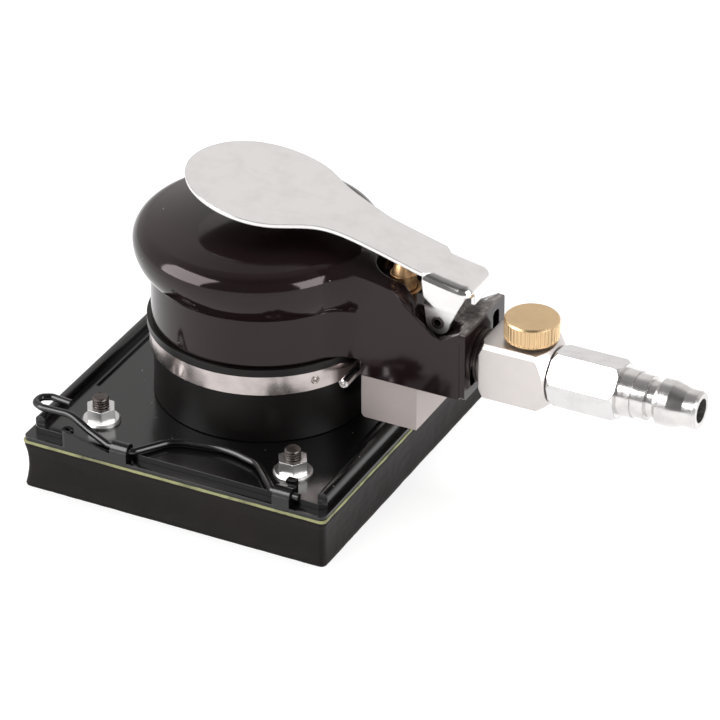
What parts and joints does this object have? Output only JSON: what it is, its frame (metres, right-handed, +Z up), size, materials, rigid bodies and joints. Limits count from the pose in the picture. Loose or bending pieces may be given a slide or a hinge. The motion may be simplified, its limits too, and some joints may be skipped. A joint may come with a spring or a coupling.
{
  "type": "air orbital sander",
  "caption": "Palm-grip pneumatic orbital sander with a rectangular clip-on paper pad, press lever, rubber boot, silencer, flow regulator and plug-in air nipple.",
  "frame": {"origin": "on the motor axis, at the height of the pad's flat working face", "axes": "+Z up along the motor axis, away from the work; +X from the motor axis towards the air inlet; the pad is drawn at one point of its orbit"},
  "size_m": [0.1933, 0.1112, 0.0912],
  "materials": {
    "housing_paint": "glossy brown-black enamel on cast aluminium",
    "black_paint": "gloss black paint on pressed steel",
    "boot_rubber": "satin black moulded rubber",
    "foam": "black-brown skinned foam",
    "backing": "pale yellow-green bonding layer",
    "chrome": "bright chrome plate",
    "zinc": "bright zinc plate",
    "dark_steel": "dark oiled steel",
    "steel": "machined steel",
    "bearing_steel": "ground bearing steel",
    "machined_aluminium": "machined aluminium",
    "brass": "turned brass",
    "regulator_grey": "satin champagne-grey plating",
    "silencer_grey": "matte warm grey casting",
    "vane_resin": "phenolic resin",
    "felt": "wool felt",
    "seal_rubber": "nitrile rubber"
  },
  "bodies": {
    "housing": {"lower_bearing_outer": "bearing_steel", "upper_bearing_outer": "bearing_steel", "cylinder_sleeve": "steel", "lower_end_plate": "machined_aluminium", "upper_end_plate": "machined_aluminium", "motor_dowel": "dark_steel", "lock_ring": "machined_aluminium", "motor_housing": "housing_paint", "rubber_boot": "boot_rubber", "clamp_band": "zinc", "clamp_screw": "dark_steel", "lever_pin": "dark_steel", "valve_bushing": "brass", "valve_spring": "steel", "silencer_body": "silencer_grey", "silencer_felt": "felt", "silencer_screws": "dark_steel", "rear_plate": "black_paint", "inlet_bushing": "dark_steel", "regulator_body": "regulator_grey", "hex_adaptor": "chrome", "air_nipple": "chrome"},
    "pad": {"foam_pad": "foam", "pad_backing": "backing", "pad_plate": "black_paint", "pad_studs": "dark_steel", "clamp_tray": "black_paint", "flange_nuts": "zinc", "front_clamp_brackets": "black_paint", "rear_clamp_brackets": "black_paint", "pad_hub": "machined_aluminium", "hub_screws": "dark_steel", "pad_bearing_outer": "bearing_steel"},
    "front_clamp": {"front_paper_clamp": "black_paint"},
    "rear_clamp": {"rear_paper_clamp": "black_paint"},
    "crank": {"crankshaft": "steel", "counterweight": "brass", "rotor": "steel", "rotor_key": "dark_steel", "rotor_vanes": "vane_resin", "shaft_ring": "dark_steel", "spindle_washer": "zinc", "spindle_screw": "dark_steel", "pad_bearing_inner": "bearing_steel", "pad_bearing_balls": "bearing_steel", "lower_bearing_inner": "bearing_steel", "lower_bearing_balls": "bearing_steel", "upper_bearing_inner": "bearing_steel", "upper_bearing_balls": "bearing_steel"},
    "lever": {"throttle_lever": "chrome"},
    "valve": {"valve_stem": "brass", "valve_seal": "seal_rubber"},
    "regulator": {"regulator_knob": "brass", "regulator_seal": "seal_rubber", "regulator_clip": "dark_steel"}
  },
  "joints": [
    {"name": "motor_spin", "type": "hinge", "parent": "housing", "child": "crank", "pos_m": [0, 0, 0.0585], "axis": [0, 0, 1], "continuous": true},
    {"name": "pad_swivel", "type": "hinge", "parent": "crank", "child": "pad", "pos_m": [-0.0018, -0.00088, 0.025], "axis": [0, 0, 1], "continuous": true},
    {"name": "lever_press", "type": "hinge", "parent": "housing", "child": "lever", "pos_m": [0.0613, 0, 0.0612], "axis": [0, -1, 0], "range_deg": [0, 5], "stiffness_Nm_per_rad": 0.5, "springref_deg": -8.59},
    {"name": "valve_slide", "type": "slide", "parent": "housing", "child": "valve", "axis": [0, 0, -1], "range_m": [0, 0.0017], "deforming": ["valve_spring"]},
    {"name": "regulator_turn", "type": "hinge", "parent": "housing", "child": "regulator", "pos_m": [0.0873, 0, 0.06], "axis": [0, 0, 1], "range_deg": [0, 90]},
    {"name": "front_clamp_lift", "type": "hinge", "parent": "pad", "child": "front_clamp", "pos_m": [-0.0018, -0.05368, 0.0205], "axis": [1, 0, 0], "range_deg": [0, 75]},
    {"name": "rear_clamp_lift", "type": "hinge", "parent": "pad", "child": "rear_clamp", "pos_m": [-0.0018, 0.05192, 0.0205], "axis": [-1, 0, 0], "range_deg": [0, 75]}
  ],
  "couplings": [
    {"joint": "pad_swivel", "follows": "motor_spin", "ratio": -1},
    {"joint": "valve_slide", "follows": "lever_press", "m_per_rad": 0.0183}
  ]
}
